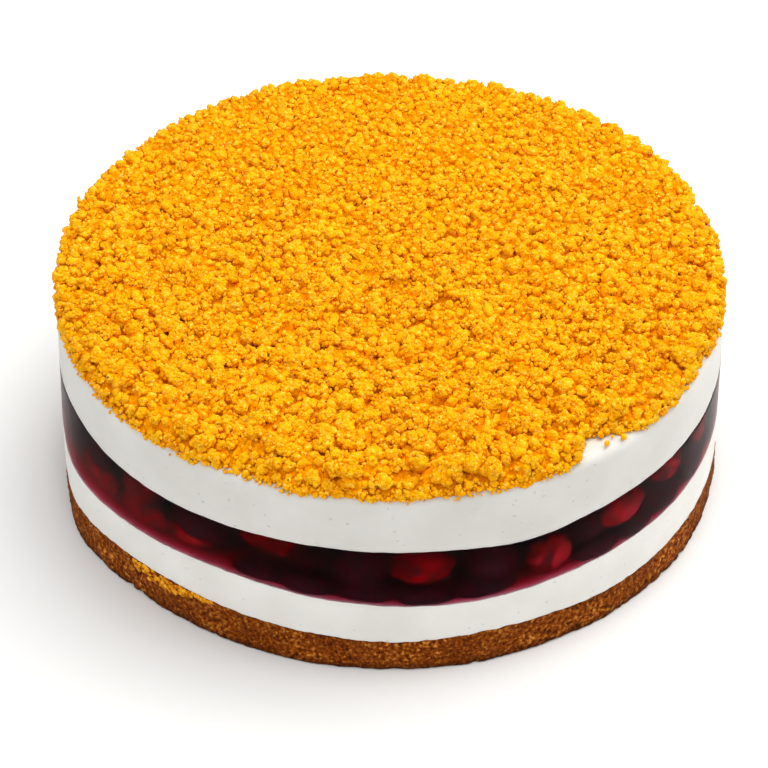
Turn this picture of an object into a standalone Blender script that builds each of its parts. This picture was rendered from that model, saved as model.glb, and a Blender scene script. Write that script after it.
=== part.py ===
"""A round fruit torte on its own: a brown baked base, white cream, a band of dark fruit jelly,
more white cream, and a heap of yellow sponge crumbs over the top. It stands on Z = 0."""

import math
import random

import bmesh
import bpy
from mathutils import Euler, Vector, noise

MM = 0.001

# Driving dimensions. The heights are those of the seams between the layers.
TORTE_RADIUS = 120.0 * MM
BASE_TOP = 14.3 * MM
JELLY_BOTTOM = 30.6 * MM
JELLY_TOP = 53.1 * MM
CREAM_TOP = 77.4 * MM
HEAP_TOP = 89.5 * MM
RIM_ROUNDING = 3.5 * MM
SEAM_GAP = 0.3 * MM

# The crumb heap: how thick its bed lies, where its edge runs, and the clumps that the fine crumbs
# have stuck together in. A clump's reach is in clump sizes.
CRUMB_BED = 6.0 * MM
CRUMB_EDGE_THICKNESS = 1.2 * MM
CRUMB_EDGE_SLOPE = 4.5 * MM
CRUMB_EDGE_RADIUS = 119.2 * MM
SWELL_SIZE = 30.0 * MM
SWELL_HEIGHT = 1.0 * MM
CLUMP_SIZE = 10.5 * MM
CLUMP_HEIGHT = 4.8 * MM
CLUMP_REACH = 0.85

# The largest crumbs are loose lumps. A lump is squashed and tilted, and its corners are knocked in
# or out. It sits with its middle this share of its radius above the heap, from sunk to proud.
LUMP_COUNT = 100
SMALLEST_LUMP = 2.9 * MM
LARGEST_LUMP = 5.2 * MM
SMALL_LUMP_BIAS = 1.5
LUMP_FLATNESS = 0.85
LUMP_TILT = 0.5
LUMP_CORNERS = (0.8, 1.15)
LUMP_SEAT = (-0.1, 0.4)
LUMP_OVERHANG = 1.2 * MM
LUMP_STRAY = 3.0 * MM
LUMP_STRAY_TURN = 0.05
# Lumps roll outwards, so they lie closer together near the edge: 0.5 would spread them evenly.
LUMP_SPREAD = 0.4

# Golden crumbs caught under the cream at the base's front left: between which angles, how many,
# their radii, and how far their middles lie below the seam.
CAUGHT_FROM, CAUGHT_TO = -139.0, -121.0
CAUGHT_COUNT = 10
CAUGHT_SIZES = (1.8 * MM, 2.6 * MM)
CAUGHT_DEPTHS = (3.8 * MM, 5.4 * MM)
CAUGHT_SUNK = 1.0 * MM

# The baked wall's crags.
BASE_CRAG_DEPTH = 0.9 * MM
BASE_CRAG_SIZE = 7.0 * MM
BASE_WALL_RINGS = 3

# Fineness of the turned shapes, and of the heap's surface.
SEGMENTS = 72
RIM_STEPS = 3
HEAP_CELLS = 54
MERGE_DISTANCE = 0.05 * MM
SHARP_ANGLE = 35.0

# What the ring mould and the palette knife left uneven: (angle, half width in degrees, rise in metres).
# Angles run from +X towards +Y, so the front of the torte is at -90.
BASE_TOP_WAVES = (
    (-131, 17, 1.6 * MM),
    (-89, 9, -1.3 * MM),
    (-46, 14, -1.5 * MM),
    (20, 22, 0.9 * MM),
    (84, 18, -1.2 * MM),
    (143, 20, 1.1 * MM),
)
JELLY_BOTTOM_WAVES = (
    (-146, 9, -0.9 * MM),
    (-118, 13, 1.8 * MM),
    (-76, 17, -1.6 * MM),
    (6, 20, 1.0 * MM),
    (60, 16, -1.1 * MM),
    (121, 22, 0.8 * MM),
)
JELLY_TOP_WAVES = (
    (-158, 12, 0.9 * MM),
    (-109, 18, 0.9 * MM),
    (-66, 10, -2.3 * MM),
    (-14, 16, 0.8 * MM),
    (47, 20, -1.0 * MM),
    (102, 15, 1.2 * MM),
    (152, 12, -0.8 * MM),
)
RIM_WAVES = (
    (-140, 20, 0.5 * MM),
    (-50, 18, -0.6 * MM),
    (35, 24, 0.6 * MM),
    (120, 20, -0.5 * MM),
)
# The lower half bulges out at the left, and is nearly round elsewhere.
WALL_BULGES = (
    (-156, 11, 2.4 * MM),
    (-122, 15, -0.7 * MM),
    (-84, 18, 0.6 * MM),
    (28, 24, -0.6 * MM),
    (96, 26, 0.8 * MM),
)
# The crumbs stop short of the rim in a few places, most of all at the front right.
CRUMB_EDGE_WAVES = (
    (-52, 6, -9.5 * MM),
    (-74, 5, -1.6 * MM),
    (-24, 9, -2.0 * MM),
    (-120, 7, -1.5 * MM),
    (15, 8, -1.8 * MM),
    (75, 7, -2.4 * MM),
    (133, 8, -1.6 * MM),
)


def bump(angle, centre, half_width):
    """A smooth hump of height 1 at the angle centre. All three are in degrees."""
    off = (angle - centre + 180.0) % 360.0 - 180.0
    return math.exp(-((off / half_width) ** 2))


def waves(angle, humps):
    return sum(rise * bump(angle, centre, half_width) for centre, half_width, rise in humps)


def smooth(value, low, high):
    """0 below low, 1 above high, and a smooth ramp between."""
    share = min(1.0, max(0.0, (value - low) / (high - low)))
    return share * share * (3.0 - 2.0 * share)


def wall_push(angle, height):
    """How far the wall stands outside the torte's radius."""
    lower_half = 1.0 - smooth(height, JELLY_BOTTOM, JELLY_TOP)
    return waves(angle, WALL_BULGES) * lower_half


def clear_scene():
    for old in list(bpy.data.objects):
        bpy.data.objects.remove(old, do_unlink=True)


def new_collection(name):
    made = bpy.data.collections.new(name)
    bpy.context.scene.collection.children.link(made)
    return made


def food_material(name, colour, roughness):
    made = bpy.data.materials.new(name)
    made.use_nodes = True
    shader = made.node_tree.nodes["Principled BSDF"]
    shader.inputs["Base Color"].default_value = (*colour, 1.0)
    shader.inputs["Roughness"].default_value = roughness
    shader.inputs["Metallic"].default_value = 0.0
    return made


def turned(name, profile, collection):
    """A solid turned about Z from (radius, height) points that run from its top down to its underside."""
    mesh = bpy.data.meshes.new(name)
    edges = [(i, i + 1) for i in range(len(profile) - 1)]
    mesh.from_pydata([(radius, 0.0, height) for radius, height in profile], edges, [])
    made = bpy.data.objects.new(name, mesh)
    collection.objects.link(made)
    lathe = made.modifiers.new("turn", "SCREW")
    lathe.steps = SEGMENTS
    lathe.render_steps = SEGMENTS
    lathe.use_merge_vertices = True
    lathe.merge_threshold = MERGE_DISTANCE
    apply_modifiers(made)
    return made


def apply_modifiers(made):
    """Puts the evaluated mesh in place of the object's own."""
    graph = bpy.context.evaluated_depsgraph_get()
    old = made.data
    made.data = bpy.data.meshes.new_from_object(made.evaluated_get(graph))
    made.modifiers.clear()
    bpy.data.meshes.remove(old)
    made.data.name = made.name


def move_points(made, mover):
    """Moves each point to mover(angle in degrees, radius, height)."""
    for point in made.data.vertices:
        x, y, height = point.co
        radius = math.hypot(x, y)
        if radius < MERGE_DISTANCE:
            continue
        turn = math.atan2(y, x)
        radius, height = mover(math.degrees(turn), radius, height)
        point.co = (radius * math.cos(turn), radius * math.sin(turn), height)
    made.data.update()


def finish(made, material):
    made.data.materials.clear()
    made.data.materials.append(material)
    made.data.shade_smooth()
    made.data.set_sharp_from_angle(angle=math.radians(SHARP_ANGLE))


def layer_profile(radius, low, high, wall_rings, rounding=0.0):
    """The outline of one layer: flat top, wall and flat underside. rounding softens the top edge."""
    edge = [(radius, high)]
    if rounding:
        edge = [
            (
                radius - rounding + rounding * math.sin(turn),
                high - rounding + rounding * math.cos(turn),
            )
            for turn in (math.pi / 2 * step / RIM_STEPS for step in range(RIM_STEPS + 1))
        ]
    drop = high - rounding - low
    wall = [(radius, low + drop * (1 - ring / (wall_rings + 1))) for ring in range(1, wall_rings + 1)]
    return [(0.0, high)] + edge + wall + [(radius, low), (0.0, low)]


def fit_seams(made, low, low_waves, high, high_waves):
    """Bends a turned layer to its two uneven seams and to the mould's uneven wall."""

    def mover(angle, radius, height):
        share = (height - low) / (high - low)
        height += waves(angle, low_waves) * (1.0 - share) + waves(angle, high_waves) * share
        return radius + wall_push(angle, height), height

    move_points(made, mover)


def cake_layer(name, low, low_waves, high, high_waves, collection, wall_rings=1, rounding=0.0):
    """One layer that runs right through the torte, half a seam gap short of both neighbours."""
    bottom = low + (SEAM_GAP / 2 if low else 0.0)
    top = high - (0.0 if rounding else SEAM_GAP / 2)
    made = turned(name, layer_profile(TORTE_RADIUS, bottom, top, wall_rings, rounding), collection)
    fit_seams(made, low, low_waves, high, high_waves)
    return made


def roughen(made, depth, grain):
    """Crags of the given depth on the wall, by noise of the given grain."""

    def mover(angle, radius, height):
        turn = math.radians(angle)
        spot = Vector((radius * math.cos(turn), radius * math.sin(turn), height))
        return radius + depth * noise.noise(spot / grain), height

    move_points(made, mover)


def lump(name, place, radius, collection, draw):
    """One crumb: a small twenty-sided ball, squashed, turned and knocked out of true."""
    mesh = bpy.data.meshes.new(name)
    ball = bmesh.new()
    bmesh.ops.create_icosphere(ball, subdivisions=1, radius=radius)
    for corner in ball.verts:
        corner.co *= draw.uniform(*LUMP_CORNERS)
        corner.co.z *= LUMP_FLATNESS
    ball.to_mesh(mesh)
    ball.free()
    made = bpy.data.objects.new(name, mesh)
    made.location = place
    tilt = (draw.uniform(-LUMP_TILT, LUMP_TILT), draw.uniform(-LUMP_TILT, LUMP_TILT))
    made.rotation_euler = Euler((*tilt, draw.uniform(0, math.tau)))
    collection.objects.link(made)


def fuse(body, pieces):
    """Joins every object of a collection to body, and removes them."""
    join = body.modifiers.new("fuse", "BOOLEAN")
    join.operation = "UNION"
    join.operand_type = "COLLECTION"
    join.collection = pieces
    join.solver = "EXACT"
    bpy.context.view_layer.update()
    apply_modifiers(body)
    for piece in list(pieces.objects):
        bpy.data.objects.remove(piece, do_unlink=True)
    bpy.data.collections.remove(pieces)


def cut(body, cutter):
    """Takes the cutter's volume from body."""
    away = body.modifiers.new("cut", "BOOLEAN")
    away.operation = "DIFFERENCE"
    away.object = cutter
    away.solver = "EXACT"
    apply_modifiers(body)


def crumb_edge(angle):
    return CRUMB_EDGE_RADIUS + waves(angle, CRUMB_EDGE_WAVES)


def clump_relief(x, y):
    """Rounded clumps with creases between them, from 0 to 1."""
    nearest = noise.voronoi(Vector((x, y, 0.0)) / CLUMP_SIZE)[0][0]
    return max(0.0, 1.0 - (nearest / CLUMP_REACH) ** 2)


def heap_height(angle, radius):
    """The top of the crumb heap: clumps on a gently uneven bed, falling away towards the edge."""
    x = radius * math.cos(math.radians(angle))
    y = radius * math.sin(math.radians(angle))
    swell = SWELL_HEIGHT * noise.noise(Vector((x, y, 0.0)) / SWELL_SIZE)
    thickness = CRUMB_BED + swell + CLUMP_HEIGHT * clump_relief(x, y)
    inward = smooth(crumb_edge(angle) - radius, 0.0, CRUMB_EDGE_SLOPE)
    thickness = CRUMB_EDGE_THICKNESS + (thickness - CRUMB_EDGE_THICKNESS) * inward
    return CREAM_TOP + waves(angle, RIM_WAVES) + thickness


def square_to_round(across, along):
    """Moves a point of the square from -1 to 1 to the disc of radius 1, its square rings to circles."""
    if abs(across) > abs(along):
        reach, turn = across, math.pi / 4 * along / across
    elif along:
        reach, turn = along, math.pi / 2 - math.pi / 4 * across / along
    else:
        reach, turn = 0.0, 0.0
    return reach * math.cos(turn), reach * math.sin(turn)


def crumb_bed(collection):
    """The close-packed heap of fine crumbs, made from an even grid, before the lumps are fused to it."""
    buried = CREAM_TOP - 2.0 * RIM_ROUNDING
    shape = bmesh.new()
    bmesh.ops.create_grid(shape, x_segments=HEAP_CELLS, y_segments=HEAP_CELLS, size=1.0)
    for corner in shape.verts:
        x, y = square_to_round(corner.co.x, corner.co.y)
        angle = math.degrees(math.atan2(y, x))
        corner.co = Vector((x, y, 0.0)) * crumb_edge(angle)
        corner.co.z = heap_height(angle, math.hypot(corner.co.x, corner.co.y))
    bmesh.ops.triangulate(shape, faces=shape.faces)
    border = [edge for edge in shape.edges if edge.is_boundary]
    skirt = bmesh.ops.extrude_edge_only(shape, edges=border)["geom"]
    hem = [part for part in skirt if isinstance(part, bmesh.types.BMVert)]
    for corner in hem:
        corner.co.z = buried
    hem_edges = [edge for edge in shape.edges if edge.is_boundary]
    bmesh.ops.contextual_create(shape, geom=hem_edges)
    bmesh.ops.recalc_face_normals(shape, faces=shape.faces)
    mesh = bpy.data.meshes.new("crumb_topping")
    shape.to_mesh(mesh)
    shape.free()
    made = bpy.data.objects.new("crumb_topping", mesh)
    collection.objects.link(made)
    return made


def scatter_lumps(collection):
    """Lumps spread over the heap on a spiral, a little out of step, in random sizes."""
    draw = random.Random(7)
    golden_turn = math.pi * (3.0 - math.sqrt(5.0))
    for number in range(LUMP_COUNT):
        size = SMALLEST_LUMP + (LARGEST_LUMP - SMALLEST_LUMP) * draw.random() ** SMALL_LUMP_BIAS
        turn = number * golden_turn + draw.uniform(-LUMP_STRAY_TURN, LUMP_STRAY_TURN)
        angle = math.degrees(turn)
        reach = crumb_edge(angle) + LUMP_OVERHANG - size
        radius = reach * ((number + 0.5) / LUMP_COUNT) ** LUMP_SPREAD
        radius = min(reach, abs(radius + draw.uniform(-LUMP_STRAY, LUMP_STRAY)))
        height = heap_height(angle, radius) + draw.uniform(*LUMP_SEAT) * size
        height = min(height, HEAP_TOP - size)
        place = Vector((radius * math.cos(turn), radius * math.sin(turn), height))
        lump(f"lump_{number}", place, size, collection, draw)


def cream_clearance(collection):
    """A cutter a seam gap larger than the upper cream, so that the heap lies on it without touching."""
    profile = layer_profile(
        TORTE_RADIUS + SEAM_GAP, JELLY_TOP, CREAM_TOP + SEAM_GAP, 1, RIM_ROUNDING + SEAM_GAP
    )
    made = turned("cream_clearance", profile, collection)
    fit_seams(made, JELLY_TOP, JELLY_TOP_WAVES, CREAM_TOP, RIM_WAVES)
    made.hide_render = True
    made.display_type = "WIRE"
    return made


def drop_loose_scraps(made):
    """Keeps the largest connected body of a mesh."""
    shape = bmesh.new()
    shape.from_mesh(made.data)
    unseen = set(shape.verts)
    bodies = []
    while unseen:
        front = [unseen.pop()]
        body = list(front)
        while front:
            for edge in front.pop().link_edges:
                for corner in edge.verts:
                    if corner in unseen:
                        unseen.remove(corner)
                        front.append(corner)
                        body.append(corner)
        bodies.append(body)
    bodies.sort(key=len)
    scraps = [corner for body in bodies[:-1] for corner in body]
    bmesh.ops.delete(shape, geom=scraps, context="VERTS")
    shape.to_mesh(made.data)
    shape.free()


def baked_base(collection):
    """The baked base, with a craggy wall and a few golden crumbs caught under the cream."""
    made = cake_layer(
        "baked_base", 0.0, (), BASE_TOP, BASE_TOP_WAVES, collection, wall_rings=BASE_WALL_RINGS
    )
    roughen(made, BASE_CRAG_DEPTH, BASE_CRAG_SIZE)
    pieces = new_collection("caught_crumbs")
    draw = random.Random(3)
    for number in range(CAUGHT_COUNT):
        angle = CAUGHT_FROM + (CAUGHT_TO - CAUGHT_FROM) * (number + 0.5) / CAUGHT_COUNT
        turn = math.radians(angle)
        size = draw.uniform(*CAUGHT_SIZES)
        height = BASE_TOP + waves(angle, BASE_TOP_WAVES) - draw.uniform(*CAUGHT_DEPTHS)
        radius = TORTE_RADIUS + wall_push(angle, height) - CAUGHT_SUNK
        place = Vector((radius * math.cos(turn), radius * math.sin(turn), height))
        lump(f"caught_{number}", place, size, pieces, draw)
    fuse(made, pieces)
    finish(made, baked_material())


def lower_cream(collection):
    """The thin cream between the base and the jelly."""
    made = cake_layer(
        "lower_cream", BASE_TOP, BASE_TOP_WAVES, JELLY_BOTTOM, JELLY_BOTTOM_WAVES, collection
    )
    finish(made, cream_material())


def fruit_jelly(collection):
    """The jelly with the fruit in it, as one solid."""
    made = cake_layer(
        "fruit_jelly", JELLY_BOTTOM, JELLY_BOTTOM_WAVES, JELLY_TOP, JELLY_TOP_WAVES, collection
    )
    finish(made, jelly_material())


def upper_cream(collection):
    """The thick cream under the crumbs, with a rounded rim."""
    made = cake_layer(
        "upper_cream", JELLY_TOP, JELLY_TOP_WAVES, CREAM_TOP, RIM_WAVES, collection, rounding=RIM_ROUNDING
    )
    finish(made, cream_material())


def crumb_topping(collection, helpers):
    """The heap with its lumps, trimmed to lie on the cream."""
    made = crumb_bed(collection)
    pieces = new_collection("lumps")
    scatter_lumps(pieces)
    fuse(made, pieces)
    cut(made, cream_clearance(helpers))
    drop_loose_scraps(made)
    finish(made, crumb_material())


def baked_material():
    return food_material("baked_base", (0.235, 0.075, 0.012), 0.85)


def cream_material():
    return food_material("white_cream", (0.83, 0.82, 0.78), 0.55)


def jelly_material():
    return food_material("fruit_jelly", (0.045, 0.002, 0.008), 0.12)


def crumb_material():
    return food_material("sponge_crumb", (0.93, 0.47, 0.01), 0.8)


def build():
    clear_scene()
    torte = new_collection("fruit_torte")
    helpers = new_collection("cutters")
    baked_base(torte)
    lower_cream(torte)
    fruit_jelly(torte)
    upper_cream(torte)
    crumb_topping(torte, helpers)


build()
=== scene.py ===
"""A round fruit torte: baked base, white cream, fruit in dark jelly, more cream and yellow crumbs."""

import math
import random

import bmesh
import bpy
import numpy as np
from mathutils import Euler, Matrix, Vector, noise
from mathutils.bvhtree import BVHTree


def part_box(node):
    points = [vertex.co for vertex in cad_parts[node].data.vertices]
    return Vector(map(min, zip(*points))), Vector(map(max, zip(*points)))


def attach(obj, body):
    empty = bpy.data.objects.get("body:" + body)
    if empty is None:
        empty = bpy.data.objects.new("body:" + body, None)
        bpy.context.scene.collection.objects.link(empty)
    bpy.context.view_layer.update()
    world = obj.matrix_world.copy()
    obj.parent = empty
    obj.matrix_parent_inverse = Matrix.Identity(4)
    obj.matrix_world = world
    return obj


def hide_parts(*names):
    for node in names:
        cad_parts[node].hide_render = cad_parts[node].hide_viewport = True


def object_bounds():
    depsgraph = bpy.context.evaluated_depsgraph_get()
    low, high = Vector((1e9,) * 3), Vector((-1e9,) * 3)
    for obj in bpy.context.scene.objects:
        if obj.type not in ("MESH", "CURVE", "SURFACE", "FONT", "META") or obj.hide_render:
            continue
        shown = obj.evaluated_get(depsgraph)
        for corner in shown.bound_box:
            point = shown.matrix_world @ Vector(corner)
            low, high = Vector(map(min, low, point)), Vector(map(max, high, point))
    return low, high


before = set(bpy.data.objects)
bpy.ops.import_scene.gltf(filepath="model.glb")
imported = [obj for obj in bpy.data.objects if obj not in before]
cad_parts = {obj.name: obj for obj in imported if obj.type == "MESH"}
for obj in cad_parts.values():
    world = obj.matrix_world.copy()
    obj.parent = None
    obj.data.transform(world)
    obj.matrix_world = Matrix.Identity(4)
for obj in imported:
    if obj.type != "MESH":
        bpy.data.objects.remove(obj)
solid_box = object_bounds()

# The baked base: a thin disc of brown sponge, cut out with the ring and laid in it first. Its cut
# wall is open crumb with pits and crags, and its colour is darker towards the bottom.
MM = 0.001
SOLID_POINTS = 72
RING_POINTS = 720
RING_TURNS = np.arange(RING_POINTS) * math.tau / RING_POINTS
WALL_SHARES = (0.04, 0.27, 0.5, 0.73, 0.96)
CLEAR_OF_RIM = 0.955
BASE_RINGS = 22
BASE_EDGE = 0.5 * MM
BASE_SET_BACK = 0.42 * MM
BASE_CRAGS = (0.42 * MM, 5.0 * MM)
BASE_CRUMB = (0.34 * MM, 1.7 * MM)
BASE_PIT_DEPTH = 1.1 * MM
BASE_PIT_SPACING = 6.5 * MM
BASE_PIT_WIDTH = 0.28
BASE_SEAM_RAGGED = (0.55 * MM, 5.0 * MM, 3.0)
TORTE_RADIUS = (solid_box[1].x - solid_box[0].x) / 2


def solid_tree(node):
    """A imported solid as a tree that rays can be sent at."""
    return BVHTree.FromObject(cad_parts[node], bpy.context.evaluated_depsgraph_get())


def finer(values):
    """The same closed curve, read at every ring point."""
    wave = np.fft.rfft(values)
    return np.fft.irfft(wave, RING_POINTS) * RING_POINTS / len(values)


def solid_directions():
    """The directions out from the torte's middle that a solid is read in."""
    for step in range(SOLID_POINTS):
        turn = math.tau * (step + 0.002) / SOLID_POINTS
        yield Vector((math.cos(turn), math.sin(turn), 0.0))


def layer_limits(node):
    """A layer's underside, top and wall, read from its solid: two heights and five radii a point round."""
    tree = solid_tree(node)
    low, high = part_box(node)
    middle = (low.z + high.z) / 2
    under, over, walls = [], [], []
    for out in solid_directions():
        inner = out * CLEAR_OF_RIM * TORTE_RADIUS + Vector((0.0, 0.0, middle))
        bottom = tree.ray_cast(inner, Vector((0, 0, -1)))[0].z
        top = tree.ray_cast(inner, Vector((0, 0, 1)))[0].z
        reach = []
        for share in WALL_SHARES:
            inner.z = bottom + (top - bottom) * share
            reach.append(tree.ray_cast(inner, out)[0].xy.length)
        under.append(bottom)
        over.append(top)
        walls.append(reach)
    return finer(under), finer(over), [finer(wall) for wall in np.array(walls).T]


def at(turn, reach):
    """The place at an angle round the torte and a distance from its middle."""
    return reach * math.cos(turn), reach * math.sin(turn)


def ragged(depth, size, seed):
    """Small ups and downs along a seam, the same for the layer above it and the one below."""
    reach = TORTE_RADIUS / size
    spots = [Vector((*at(turn, reach), seed)) for turn in RING_TURNS]
    return np.array([depth * (noise.noise(spot) + 0.5 * noise.noise(spot * 2.3)) for spot in spots])


def placed(name, data):
    """A new object in the scene, from its mesh, lamp or lens."""
    made = bpy.data.objects.new(name, data)
    bpy.context.scene.collection.objects.link(made)
    return made


def ring_solid(name, rings):
    """A closed solid through rings of points, from the one round its top's middle to the one below."""
    rings = np.asarray(rings)
    count, around, _ = rings.shape
    points = rings.reshape(-1, 3).tolist()
    points.append(rings[0].mean(0).tolist())
    points.append(rings[-1].mean(0).tolist())
    top_middle, bottom_middle = len(points) - 2, len(points) - 1
    faces = []
    for ring in range(count - 1):
        start = ring * around
        for step in range(around):
            after = (step + 1) % around
            faces.append((start + step, start + around + step, start + around + after, start + after))
    last = (count - 1) * around
    for step in range(around):
        after = (step + 1) % around
        faces.append((top_middle, step, after))
        faces.append((bottom_middle, last + after, last + step))
    mesh = bpy.data.meshes.new(name)
    mesh.from_pydata(points, [], faces)
    mesh.shade_smooth()
    return placed(name, mesh)


def layer_rings(limits, rings, low_shift, high_shift, top_edge, low_edge, relief):
    """Rings of points round one layer, from its top to its underside, with its edges eased."""
    under, over, walls = limits
    under = under + low_shift
    over = over + high_shift
    out = np.stack([np.cos(RING_TURNS), np.sin(RING_TURNS)], -1)

    def wall_radius(height):
        share = (height - under) / (over - under)
        radius = np.empty_like(height)
        for step in range(len(height)):
            radius[step] = np.interp(share[step], WALL_SHARES, [wall[step] for wall in walls])
        return radius

    def ring(radius, height):
        return np.concatenate([out * radius[:, None], height[:, None]], -1)

    ease = [math.pi / 2 * step / 3 for step in range(4)]
    rings_out = [ring(walls[4] * share, over) for share in (0.4, 0.8, 0.95)]
    heights = [over - top_edge * (1 - math.cos(turn)) for turn in ease]
    insets = [top_edge * (1 - math.sin(turn)) for turn in ease]
    for step in range(1, rings):
        heights.append(over - top_edge + (under - over + top_edge + low_edge) * step / rings)
        insets.append(0.0)
    heights += [under + low_edge * (1 - math.cos(turn)) for turn in reversed(ease)]
    insets += [low_edge * (1 - math.sin(turn)) for turn in reversed(ease)]
    for height, inset in zip(heights, insets):
        radius = wall_radius(height)
        push = [relief(turn, r, z) for turn, r, z in zip(RING_TURNS, radius, height)]
        rings_out.append(ring(radius - inset + np.array(push), height))
    rings_out += [ring(walls[0] * share, under) for share in (0.95, 0.8, 0.4)]
    return rings_out


def base_relief(turn, radius, height):
    """Crags, open crumb and pits in the base's cut wall."""
    spot = Vector((*at(turn, radius), height))
    push = BASE_CRAGS[0] * noise.noise(spot / BASE_CRAGS[1])
    push += BASE_CRUMB[0] * noise.noise(spot / BASE_CRUMB[1])
    pit = noise.voronoi(spot / BASE_PIT_SPACING)[0][0]
    push -= BASE_PIT_DEPTH * max(0.0, 1.0 - pit / BASE_PIT_WIDTH)
    return push - BASE_SET_BACK


def srgb(red, green, blue):
    """A colour as it is seen, 0 to 255, in the linear light that shaders count in."""
    seen = [value / 255 for value in (red, green, blue)]
    return (*[v / 12.92 if v <= 0.04045 else ((v + 0.055) / 1.055) ** 2.4 for v in seen], 1.0)


def new_finish(name, roughness, gloss):
    """A new material: its node tree, its shader and the place of each point on the torte."""
    material = bpy.data.materials.new(name)
    material.use_nodes = True
    tree = material.node_tree
    shader = tree.nodes["Principled BSDF"]
    shader.inputs["Roughness"].default_value = roughness
    shader.inputs["Specular IOR Level"].default_value = gloss
    place = tree.nodes.new("ShaderNodeTexCoord").outputs["Object"]
    return material, tree, shader, place


def clouds(tree, place, size, detail=4.0):
    """Cloudy grain from 0 to 1, with patches about size across."""
    node = tree.nodes.new("ShaderNodeTexNoise")
    node.inputs["Scale"].default_value = 1.0 / size
    node.inputs["Detail"].default_value = detail
    tree.links.new(place, node.inputs["Vector"])
    return node.outputs["Fac"]


def cells(tree, place, size):
    """The distance to the middle of the nearest of many cells, about size apart."""
    node = tree.nodes.new("ShaderNodeTexVoronoi")
    node.inputs["Scale"].default_value = 1.0 / size
    tree.links.new(place, node.inputs["Vector"])
    return node.outputs["Distance"]


def colours(tree, share, stops):
    """A colour picked from (share, colour) stops."""
    node = tree.nodes.new("ShaderNodeValToRGB")
    while len(node.color_ramp.elements) < len(stops):
        node.color_ramp.elements.new(0.5)
    for element, (place, colour) in zip(node.color_ramp.elements, stops):
        element.position = place
        element.color = colour
    tree.links.new(share, node.inputs["Fac"])
    return node.outputs["Color"]


def mixed(tree, share, first, second):
    """second laid over first, as far as share goes."""
    node = tree.nodes.new("ShaderNodeMix")
    node.data_type = "RGBA"
    tree.links.new(share, node.inputs["Factor"])
    for socket, value in (("A", first), ("B", second)):
        place = next(s for s in node.inputs if s.name == socket and s.type == "RGBA")
        if isinstance(value, tuple):
            place.default_value = value
        else:
            tree.links.new(value, place)
    return next(s for s in node.outputs if s.type == "RGBA")


def ranged(tree, value, low, high, to_low=0.0, to_high=1.0):
    """value from low to high, read as to_low to to_high."""
    node = tree.nodes.new("ShaderNodeMapRange")
    for socket, number in zip(("From Min", "From Max", "To Min", "To Max"), (low, high, to_low, to_high)):
        node.inputs[socket].default_value = number
    tree.links.new(value, node.inputs["Value"])
    return node.outputs["Result"]


def bumps(tree, height, distance, under=None):
    """Fine relief in the surface's normals, up to distance high."""
    node = tree.nodes.new("ShaderNodeBump")
    node.inputs["Distance"].default_value = distance
    tree.links.new(height, node.inputs["Height"])
    if under:
        tree.links.new(under, node.inputs["Normal"])
    return node.outputs["Normal"]


def baked_finish():
    """Brown baked sponge: paler grains, dark pits, and a colour darker towards the bottom."""
    material, tree, shader, place = new_finish("baked_sponge", 0.75, 0.06)
    crumb = colours(tree, clouds(tree, place, 1.5 * MM, 5.0), (
        (0.34, srgb(62, 24, 1)), (0.46, srgb(122, 54, 3)),
        (0.56, srgb(160, 80, 9)), (0.68, srgb(222, 150, 66)),
    ))
    patches = ranged(tree, clouds(tree, place, 14 * MM, 2.0), 0.38, 0.62)
    body = mixed(tree, patches, crumb, colours(tree, clouds(tree, place, 1.1 * MM, 4.0), (
        (0.34, srgb(66, 26, 1)), (0.56, srgb(132, 58, 4)), (0.70, srgb(186, 108, 30)),
    )))
    flecks = ranged(tree, cells(tree, place, 3.4 * MM), 0.17, 0.10)
    body = mixed(tree, flecks, body, srgb(188, 122, 34))
    # The colour is made darker towards the bottom, over the lowest few millimetres of the base.
    split = tree.nodes.new("ShaderNodeSeparateXYZ")
    tree.links.new(place, split.inputs["Vector"])
    darker_towards_bottom = ranged(tree, split.outputs["Z"], 3.2 * MM, 0.2 * MM, 0.0, 0.75)
    body = mixed(tree, darker_towards_bottom, body, srgb(40, 14, 3))
    tree.links.new(body, shader.inputs["Base Color"])
    coarse = bumps(tree, clouds(tree, place, 1.1 * MM, 5.0), 0.7 * MM)
    tree.links.new(bumps(tree, cells(tree, place, 0.9 * MM), 0.25 * MM, coarse), shader.inputs["Normal"])
    return material


base_limits = layer_limits("baked_base")
base_seam = ragged(*BASE_SEAM_RAGGED)
base = ring_solid("baked_base_crumb", layer_rings(
    base_limits, BASE_RINGS, 0.0, base_seam, BASE_EDGE, BASE_EDGE, base_relief,
))
base.data.materials.append(baked_finish())
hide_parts("baked_base")
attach(base, "root")

# The creams: whipped, set with gelatine and smoothed against the ring, one thin layer on the base
# and one thick one over the jelly. The upper one's rim is rounded where the knife drew it off.
LOWER_CREAM_RINGS = 12
UPPER_CREAM_RINGS = 16
CREAM_WAVE = (0.16 * MM, 16.0 * MM)
CREAM_DRAG = (0.05 * MM, 3.5 * MM)
CREAM_SET_BACK = 0.14 * MM
CREAM_OVERLAP = 0.25 * MM
LOWER_SEAM_RAGGED = (0.26 * MM, 6.5 * MM, 11.0)
UPPER_SEAM_RAGGED = (0.26 * MM, 6.5 * MM, 19.0)
CREAM_RIM = 3.4 * MM
SEAM_EDGE = 0.25 * MM
PINHOLE_SPACING = 4.4 * MM


def cream_relief(turn, radius, height):
    """Very shallow waves and drag marks, long in the way that the ring was pulled round."""
    spot = Vector((*at(turn, radius), height * 1.6))
    drag = Vector((spot.x, spot.y, height * 5.0))
    wave = CREAM_WAVE[0] * noise.noise(spot / CREAM_WAVE[1])
    return wave + CREAM_DRAG[0] * noise.noise(drag / CREAM_DRAG[1]) - CREAM_SET_BACK


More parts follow.
